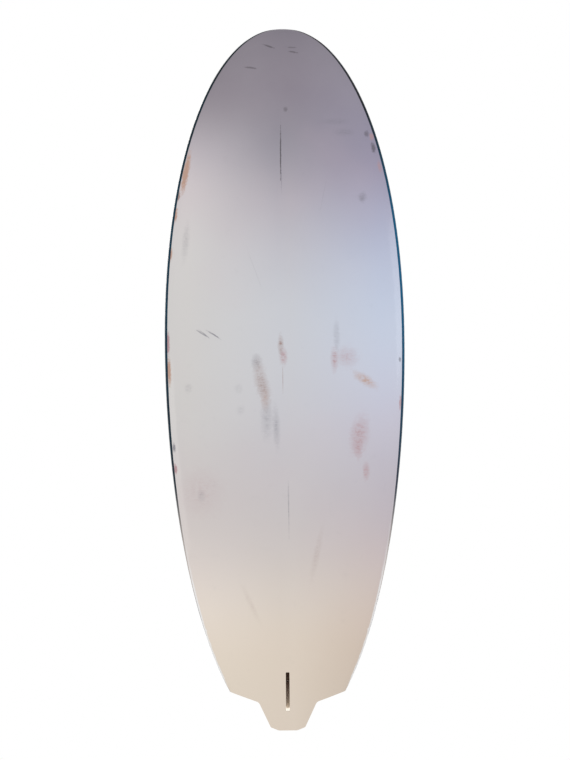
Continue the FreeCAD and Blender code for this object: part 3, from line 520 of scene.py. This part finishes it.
def metal(name, base, stain, roughness, lines):
    """Drawn or turned metal with fine lines and light tarnish."""
    nodes = Nodes(name)
    tarnish = nodes.stretch(nodes.noise(150.0, 6.0, 0.7), 0.45, 0.8, 0.0, 0.5)
    colour = nodes.mix(tarnish, base, stain)
    brushed = nodes.noise(900.0, 2.0, 0.5, nodes.moved(scale=lines))
    rough = nodes.stretch(brushed, 0.2, 0.8, roughness - 0.08, roughness + 0.14)
    normal = nodes.bump(brushed, 0.00008, 0.5)
    return nodes.finish(Base_Color=colour, Metallic=1.0, Roughness=rough, Normal=normal)


def foam(name, base, dark, bead):
    """Cut foam: packed beads or cells with darker seams between them."""
    nodes = Nodes(name)
    seams = nodes.cells(bead, feature="DISTANCE_TO_EDGE")
    colour = nodes.mix(nodes.stretch(seams, 0.0, 0.12, 0.5, 0.0), base, dark)
    normal = nodes.bump(nodes.stretch(seams, 0.0, 0.2), 0.0008, 0.6)
    rough = nodes.stretch(nodes.noise(40.0), 0.3, 0.7, 0.75, 0.95)
    return nodes.finish(Base_Color=colour, Roughness=rough, Normal=normal)


def plywood():
    """Sanded plywood with grain along the board."""
    nodes = Nodes("plywood")
    grain = nodes.noise(40.0, 6.0, 0.6, nodes.moved(scale=(9, 0.4, 0.4)))
    colour = nodes.ramp(grain, (
        (0.25, linear(150, 112, 70)), (0.5, linear(196, 158, 110)), (0.8, linear(222, 190, 142)),
    ))
    rough = nodes.stretch(grain, 0.3, 0.7, 0.5, 0.75)
    return nodes.finish(Base_Color=colour, Roughness=rough, Normal=nodes.bump(grain, 0.0004, 0.5))


def pad_foam(name, base, worn_colour):
    """Closed-cell deck pad: fine pores, sun fade and foot wear."""
    nodes = Nodes(name)
    fade = nodes.stretch(nodes.noise(2.2, 4.0, 0.6), 0.35, 0.75, 0.0, 0.45)
    colour = nodes.mix(fade, base, worn_colour)
    speck = nodes.stretch(nodes.cells(900.0), 0.0, 0.5, 0.25, 0.0)
    colour = nodes.mix(speck, colour, linear(16, 18, 20))
    sand = nodes.stretch(nodes.noise(65.0, 8.0, 0.75), 0.60, 0.82, 0.0, 0.22)
    colour = nodes.mix(sand, colour, linear(186, 176, 158))
    rough = nodes.stretch(nodes.noise(30.0, 4.0), 0.3, 0.8, 0.72, 0.95)
    pores = nodes.bump(nodes.cells(900.0), 0.0003, 0.6)
    return nodes.finish(
        Base_Color=colour, Roughness=rough, Normal=pores, Specular_IOR_Level=0.25,
        Sheen_Weight=0.15,
    )


def make_materials():
    """Every finish, by the record's slot."""
    black, soot = linear(26, 26, 29), linear(58, 57, 60)
    return {
        "bottom_gloss": underside(),
        "deck_gloss": deck_lacquer(),
        "core_foam": foam("core_foam", linear(242, 242, 240), linear(198, 200, 202), 260.0),
        "dense_foam": foam("dense_foam", linear(224, 206, 160), linear(176, 154, 110), 900.0),
        "plywood": plywood(),
        "white_plastic": slot_plastic(),
        "black_plastic": moulded("black_plastic", black, soot, 0.44),
        "stainless": metal(
            "stainless", linear(188, 188, 190), linear(120, 112, 104), 0.26, (1, 0.05, 1)),
        "brass": metal("brass", linear(196, 156, 88), linear(112, 88, 52), 0.30, (1, 1, 0.05)),
        "seal_rubber": moulded("seal_rubber", linear(20, 20, 21), linear(44, 42, 42), 0.6),
        "grip_rubber": moulded(
            "grip_rubber", linear(34, 35, 38), linear(74, 72, 72), 0.62, 700.0, 0.3),
        "pad_grey": pad_foam("pad_grey", linear(112, 122, 128), linear(142, 148, 150)),
        "pad_dark": pad_foam("pad_dark", linear(38, 44, 48), linear(66, 70, 72)),
    }


def dress(materials):
    """Gives every CAD node its slot's finish."""
    slots = {part["node"]: part["material_slot"] for part in frame["record"]["subparts"]}
    for name, piece in NODES.items():
        mesh = piece.data
        mesh.materials.clear()
        mesh.materials.append(materials[slots[name]])
        mesh.polygons.foreach_set("material_index", [0] * len(mesh.polygons))


# ------------------------------------------------------------------ deck pads
PAD_THICK = 0.005
GLUE = 0.00012                              # glue line under a pad
PAD_ROUND = 0.0015                          # rounding of a pad's top edge
PAD_CORNER = 0.028                          # plan radius of a pad's corners
CORNER_REACH = 0.075                        # how far into the pad its corners bend the grooves
EDGE_STEPS = (0.0, 0.0003, 0.0008, 0.0015)  # grid places across a rounded edge
CORNER_STEPS = (0.003, 0.006, 0.010, 0.015, 0.021, 0.028)
GROOVE_DEPTH = 0.0018
GROOVE_HALF = 0.0012                        # half width of a groove
GROOVE_FLOOR = 0.45                         # share of it that is level floor
TILE = 0.024                                # spacing of the grooves on side and tail pads
RIB = 0.0118                                # spacing of the grooves on the middle pad
LONGEST_CELL = 0.022                        # longest step of a pad's grid
WIDE_X = 0.119                              # wide point ahead of the middle
NOSE_FULLNESS, TAIL_FULLNESS = 2.11, 1.97   # exponents of the outline ahead and behind
TAIL_REACH = 1.458                          # wide point to where the tail outline would close
RAIL_MARGIN = 0.078                         # bare deck between a pad and the rail
NOSE_TAPER = 0.090                          # how much more of it at the front of the side pads
HANDLE_GAP = 0.005                          # between the pad and the handle's flange
HOLE_CORNER = 0.042                         # plan radius of the hole round the handle
HOLE_FADE = 0.5                             # its corners bend the grid out to this much past it
ON_LINE = 1e-6                              # two places closer than this are the same
DECK_LOWEST = 0.1                           # a ray that hits lower than this missed the deck
DECK_MISS = 0.0008                          # points further off the fitted deck are left out
FIT_ROUNDS = 3                              # times that the deck is fitted without them
KICK_CREST = 0.24                           # place of the kick's crest, 0 back to 1 front
KICK_ROUND = 0.008                          # rounding of the kick's ends
KICK_GROOVES = 5.5                          # grooves down its front slope
KICK_GROOVE_DEPTH = 0.05                    # their depth, as a share of its height


def rail(x):
    """Half width of the board's outline at x."""
    ahead = x > WIDE_X
    along = np.where(ahead, (x - WIDE_X) / (NOSE - WIDE_X), (WIDE_X - x) / TAIL_REACH)
    power = np.where(ahead, NOSE_FULLNESS, TAIL_FULLNESS)
    return WIDE * (1 - along ** power) ** (1 / power)


def side_edge(x):
    """Outer edge of a side pad at x."""
    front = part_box("deck_pad_left")[1].x
    return rail(x) - RAIL_MARGIN - NOSE_TAPER * np.maximum(0, x / front) ** 2


def surface_terms(x, y):
    """Terms of the deck's polynomial, even in y."""
    x, y = np.asarray(x), np.asarray(y)
    return np.array([x ** i * y ** (2 * j) for i in range(6) for j in range(6)])


def fit_deck():
    """Smooth height of the deck under the pads, fitted to the deck skin."""
    mesh = NODES["deck_skin"].data
    corners = [vertex.co for vertex in mesh.vertices]
    tree = BVHTree.FromPolygons(corners, [tuple(face.vertices) for face in mesh.polygons])
    rear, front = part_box("tail_pad")[0].x - 0.02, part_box("deck_pad_center")[1].x + 0.02
    rows, heights = [], []
    for x in np.linspace(rear, front, 70):
        for y in np.linspace(0.0, float(rail(x)) - RAIL_MARGIN + 0.02, 26):
            hit, normal, _, _ = tree.ray_cast(Vector((x, y, 1)), Vector((0, 0, -1)))
            if hit is not None and normal.z > 0.6 and hit.z > DECK_LOWEST:
                rows.append(surface_terms(x, y))
                heights.append(hit.z)
    rows, heights = np.array(rows), np.array(heights)
    for _ in range(FIT_ROUNDS):
        weights = np.linalg.lstsq(rows, heights, rcond=None)[0]
        near = np.abs(rows @ weights - heights) < DECK_MISS
        rows, heights = rows[near], heights[near]
    return lambda x, y: np.tensordot(weights, surface_terms(x, y), axes=1)


def steps_across(low, high, spacing, extra=()):
    """Grid places from low to high, and how deep in a groove each one lies (0 to 1)."""
    places = {low + step: 0.0 for step in EDGE_STEPS + CORNER_STEPS}
    places.update({high - step: 0.0 for step in EDGE_STEPS + CORNER_STEPS})
    places.update({place: 0.0 for place in extra})
    if spacing:
        count = int((high - low) / spacing - 0.5)
        first = (low + high) / 2 - (count - 1) * spacing / 2
        for number in range(count):
            centre = first + number * spacing
            clear = [place for place in places if abs(place - centre) < GROOVE_HALF * 2]
            for place in clear:
                if place not in extra and low + PAD_ROUND < place < high - PAD_ROUND:
                    del places[place]
            for share, depth in ((-1, 0.0), (-GROOVE_FLOOR, 1.0), (GROOVE_FLOOR, 1.0), (1, 0.0)):
                places[centre + share * GROOVE_HALF] = depth
    marks = sorted(places)
    filled, depths = [marks[0]], [places[marks[0]]]
    for mark in marks[1:]:
        gap = mark - filled[-1]
        pieces = max(1, math.ceil(gap / LONGEST_CELL))
        start = filled[-1]
        for number in range(1, pieces):
            filled.append(start + gap * number / pieces)
            depths.append(0.0)
        filled.append(mark)
        depths.append(places[mark])
    return np.array(filled), np.array(depths)


def smooth(value):
    """0 to 1 with level ends."""
    value = np.clip(value, 0, 1)
    return value * value * (3 - 2 * value)


def rounded(away, radius):
    """How far a rounded edge or corner falls back, at a distance from its side."""
    inside = np.clip(1 - away / radius, 0, 1)
    return radius * (1 - np.sqrt(1 - inside ** 2))


def pad_mesh(name, x, y, top, low, keep):
    """Closed piece between two height fields over one grid; keep marks the cells used."""
    count = x.size
    number = np.arange(count).reshape(x.shape)
    corners = np.stack([
        number[:-1, :-1], number[1:, :-1], number[1:, 1:], number[:-1, 1:]], -1)[keep]
    uses = {}
    for ring in corners.tolist():
        for edge in zip(ring, ring[1:] + ring[:1]):
            uses[edge] = True
    rim = [(a, b) for a, b in uses if (b, a) not in uses]
    faces = corners.tolist() + (corners[:, ::-1] + count).tolist()
    faces += [(b, a, a + count, b + count) for a, b in rim]
    places = np.concatenate([
        np.stack([x, y, top], -1).reshape(-1, 3), np.stack([x, y, low], -1).reshape(-1, 3)])
    mesh = bpy.data.meshes.new(name)
    mesh.from_pydata(places.tolist(), [], faces)
    shaper = bmesh.new()
    shaper.from_mesh(mesh)
    loose = [vertex for vertex in shaper.verts if not vertex.link_faces]
    bmesh.ops.delete(shaper, geom=loose, context="VERTS")
    bmesh.ops.recalc_face_normals(shaper, faces=shaper.faces)
    shaper.to_mesh(mesh)
    shaper.free()
    mesh.polygons.foreach_set("use_smooth", [True] * len(mesh.polygons))
    mesh.set_sharp_from_angle(angle=math.radians(40))
    piece = bpy.data.objects.new(name, mesh)
    bpy.context.scene.collection.objects.link(piece)
    return piece


def put_pad(piece, node, material):
    """Puts a made piece in the place of a CAD pad."""
    piece.data.materials.append(material)
    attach(piece, "board")
    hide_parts(node)


def panel(name, deck, node, inner, outer, across, along, hole=None):
    """Grooved pad panel. Its sides are functions of x; across and along space its grooves."""
    low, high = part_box(node)[0].x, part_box(node)[1].x
    middle = np.array([(low + high) / 2])
    width = float((outer(middle) - inner(middle))[0])
    x_extra, y_extra = (), ()
    if hole:
        centre, reach = hole
        x_extra = [centre.x + side * (reach.x + step) for side in (1, -1) for step in EDGE_STEPS]
        y_extra = [width / 2 + side * (reach.y + step) for side in (1, -1) for step in EDGE_STEPS]
    x_places, x_depth = steps_across(low, high, along, x_extra)
    y_places, y_depth = steps_across(0.0, width, across, y_extra)
    x0, t = np.meshgrid(x_places, y_places / width, indexing="ij")
    side = np.minimum(t, 1 - t) * (outer(x0) - inner(x0))
    bend = rounded(side, PAD_CORNER)
    x = x0 + bend * (1 - smooth((x0 - low) / CORNER_REACH))
    x = x - bend * (1 - smooth((high - x0) / CORNER_REACH))
    y = inner(x) + t * (outer(x) - inner(x))
    edge = np.minimum(np.minimum(x0 - low, high - x0), side)
    keep = np.ones((x.shape[0] - 1, x.shape[1] - 1), bool)
    if hole:
        away_x, away_y = x - centre.x, y - centre.y
        past = np.maximum(np.abs(away_x) - reach.x, np.abs(away_y) - reach.y)
        edge = np.where(past >= -ON_LINE, np.minimum(edge, np.abs(past)), edge)
        keep = (past[:-1, :-1] > -ON_LINE) | (past[1:, 1:] > -ON_LINE)
        keep |= (past[:-1, 1:] > -ON_LINE) & (past[1:, :-1] > -ON_LINE)
        shrink = hole_shrink(away_x, away_y, reach)
        x, y = centre.x + away_x * shrink, centre.y + away_y * shrink
    depth = np.maximum(x_depth[:, None], y_depth[None, :]) * GROOVE_DEPTH
    low_side = deck(x, y) + GLUE
    top = low_side + PAD_THICK - rounded(edge, PAD_ROUND) - depth
    return pad_mesh(name, x, y, top, low_side, keep)


def hole_shrink(x, y, reach):
    """Scale about the hole's middle that draws its square corners in to rounded ones."""
    across = np.maximum(np.maximum(np.abs(x) / reach.x, np.abs(y) / reach.y), ON_LINE)
    edge_x, edge_y = np.abs(x) / across, np.abs(y) / across
    core_x, core_y = reach.x - HOLE_CORNER, reach.y - HOLE_CORNER
    in_corner = (edge_x > core_x) & (edge_y > core_y)
    size = np.maximum(edge_x ** 2 + edge_y ** 2, 1e-12)
    along = (edge_x * core_x + edge_y * core_y) / size
    rest = core_x ** 2 + core_y ** 2 - HOLE_CORNER ** 2
    share = along + np.sqrt(np.maximum(along ** 2 - rest / size, 0))
    share = np.where(in_corner, np.minimum(share, 1), 1)
    return share + (1 - share) * smooth((across - 1) / HOLE_FADE)


def kick_outline():
    """Side view of the kick, 0 to 1 along and up: steep rounded back and grooved front slope."""
    back = [(0.0, share) for share in (0.0, 0.25, 0.5)]
    back += [(KICK_CREST * (1 - math.cos(a)), 0.5 + 0.5 * math.sin(a))
             for a in np.linspace(0.15, math.pi / 2, 9)]
    front = []
    for q in np.linspace(0.03, 1, 90):
        rise = 0.09 + 0.91 * (0.5 + 0.5 * math.cos(math.pi * q ** 0.85))
        groove = KICK_GROOVE_DEPTH * smooth(1 - abs(math.sin(q * math.pi * KICK_GROOVES)) * 5.0)
        on_slope = 0.08 < q < 0.93
        front.append((KICK_CREST + (1 - KICK_CREST) * q, rise - (groove if on_slope else 0)))
    return np.array(back + front + [(1.0, 0.0)])


def kick(name, deck):
    """Raised kick at the back of the tail pad, with rounded ends."""
    low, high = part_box("tail_kick")
    base = float(deck(low.x, 0.0)) + GLUE + PAD_THICK
    height = high.z - base
    length = high.x - low.x
    outline = kick_outline()
    ends = np.concatenate([np.linspace(0, 1, 9) ** 2 * KICK_ROUND, [0.02, 0.05, 0.09]])
    half = (high.y - low.y) / 2
    y_places = np.concatenate([ends - half, [0.0], (half - ends)[::-1]])
    from_end = np.minimum(y_places + half, half - y_places)
    squash = 1 - rounded(from_end, KICK_ROUND) / KICK_ROUND * 0.9
    x = low.x + length * (0.5 + (outline[:, 0][:, None] - 0.5) * (0.97 + 0.03 * squash[None, :]))
    y = np.broadcast_to(y_places[None, :], x.shape)
    low_side = deck(x, y) + GLUE + PAD_THICK
    top = low_side + outline[:, 1][:, None] * squash[None, :] * height * 0.99
    keep = np.ones((x.shape[0] - 1, x.shape[1] - 1), bool)
    return pad_mesh(name, x, y, top, low_side, keep)


def make_pads(materials):
    """Every deck pad and the kick."""
    deck = fit_deck()
    grey, dark = materials["pad_grey"], materials["pad_dark"]
    centre_low, centre_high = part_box("deck_pad_center")
    cup_low, cup_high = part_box("handle_cup")
    reach = (cup_high - cup_low) / 2 + Vector((HANDLE_GAP, HANDLE_GAP, 0))
    hole = ((cup_low + cup_high) / 2, reach)

    def level(value):
        return lambda x: np.full(np.shape(x), value)

    middle = panel("pad_center", deck, "deck_pad_center", level(centre_low.y),
                   level(centre_high.y), RIB, None, hole)
    put_pad(middle, "deck_pad_center", dark)
    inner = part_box("deck_pad_left")[0].y
    left = panel("pad_left", deck, "deck_pad_left", level(inner), side_edge, TILE, TILE)
    put_pad(left, "deck_pad_left", grey)
    right = panel("pad_right", deck, "deck_pad_right", lambda x: -side_edge(x), level(-inner),
                  TILE, TILE)
    put_pad(right, "deck_pad_right", grey)
    rear = panel("pad_tail", deck, "tail_pad", lambda x: RAIL_MARGIN - rail(x),
                 lambda x: rail(x) - RAIL_MARGIN, TILE, TILE)
    put_pad(rear, "tail_pad", dark)
    put_pad(kick("pad_kick", deck), "tail_kick", dark)


# ------------------------------------------------------------------ stage and light
def make_stage():
    """Pale floor that only the camera sees, so that light reaches the underside too."""
    bpy.ops.mesh.primitive_plane_add(size=FAR, location=(0, 0, -FLOOR_DROP))
    floor = bpy.context.object
    floor.name = "floor"
    floor.visible_diffuse = False
    floor.visible_glossy = False
    floor.visible_transmission = False
    floor.visible_shadow = False
    nodes = Nodes("floor")
    tone = nodes.stretch(nodes.noise(0.8, 4.0), 0.3, 0.7, 0.0, 1.0)
    colour = nodes.mix(tone, linear(222, 222, 221), linear(228, 228, 227))
    floor.data.materials.append(nodes.finish(Base_Color=colour, Roughness=0.9))


def area_light(name, location, aim, size, power, colour):
    """Soft square light that the camera doesn't see."""
    data = bpy.data.lights.new(name, "AREA")
    data.size = size
    data.energy = power
    data.color = colour
    light = bpy.data.objects.new(name, data)
    bpy.context.scene.collection.objects.link(light)
    light.location = location
    light.rotation_euler = (Vector(aim) - Vector(location)).to_track_quat("-Z", "Y").to_euler()
    light.visible_camera = False


def make_sky():
    """Sky that is pale grey at the horizon and white straight up and down."""
    world = bpy.data.worlds.new("studio")
    bpy.context.scene.world = world
    world.use_nodes = True
    tree = world.node_tree
    background = tree.nodes["Background"]
    direction = tree.nodes.new("ShaderNodeTexCoord")
    split = tree.nodes.new("ShaderNodeSeparateXYZ")
    tree.links.new(direction.outputs["Generated"], split.inputs[0])
    steepness = tree.nodes.new("ShaderNodeMath")
    steepness.operation = "ABSOLUTE"
    tree.links.new(split.outputs["Z"], steepness.inputs[0])
    ramp = tree.nodes.new("ShaderNodeValToRGB")
    ramp.color_ramp.elements[0].color = (0.62, 0.63, 0.65, 1)
    ramp.color_ramp.elements[1].color = (1.0, 1.0, 1.0, 1)
    ramp.color_ramp.elements[1].position = 0.75
    tree.links.new(steepness.outputs[0], ramp.inputs[0])
    tree.links.new(ramp.outputs[0], background.inputs["Color"])
    background.inputs["Strength"].default_value = 1.0


def make_lights():
    """White studio: even sky, two soft lights over the deck and two under the bottom."""
    make_sky()
    area_light("key", (1.8, -2.4, 3.4), (0, 0, 0.1), 2.2, 70, (1.0, 0.98, 0.95))
    area_light("fill", (-2.6, 2.2, 2.6), (0, 0, 0.1), 2.0, 30, (0.93, 0.96, 1.0))
    area_light("under_warm", (-0.8, -2.6, -2.6), (0, 0, 0.1), 1.6, 10, (1.0, 0.97, 0.93))
    area_light("under_cool", (0.8, 2.6, -2.6), (0, 0, 0.1), 1.6, 10, (0.93, 0.96, 1.0))
    bpy.context.scene.view_settings.view_transform = "Standard"


make_camera()
make_stage()
make_lights()
materials = make_materials()
dress(materials)
make_pads(materials)
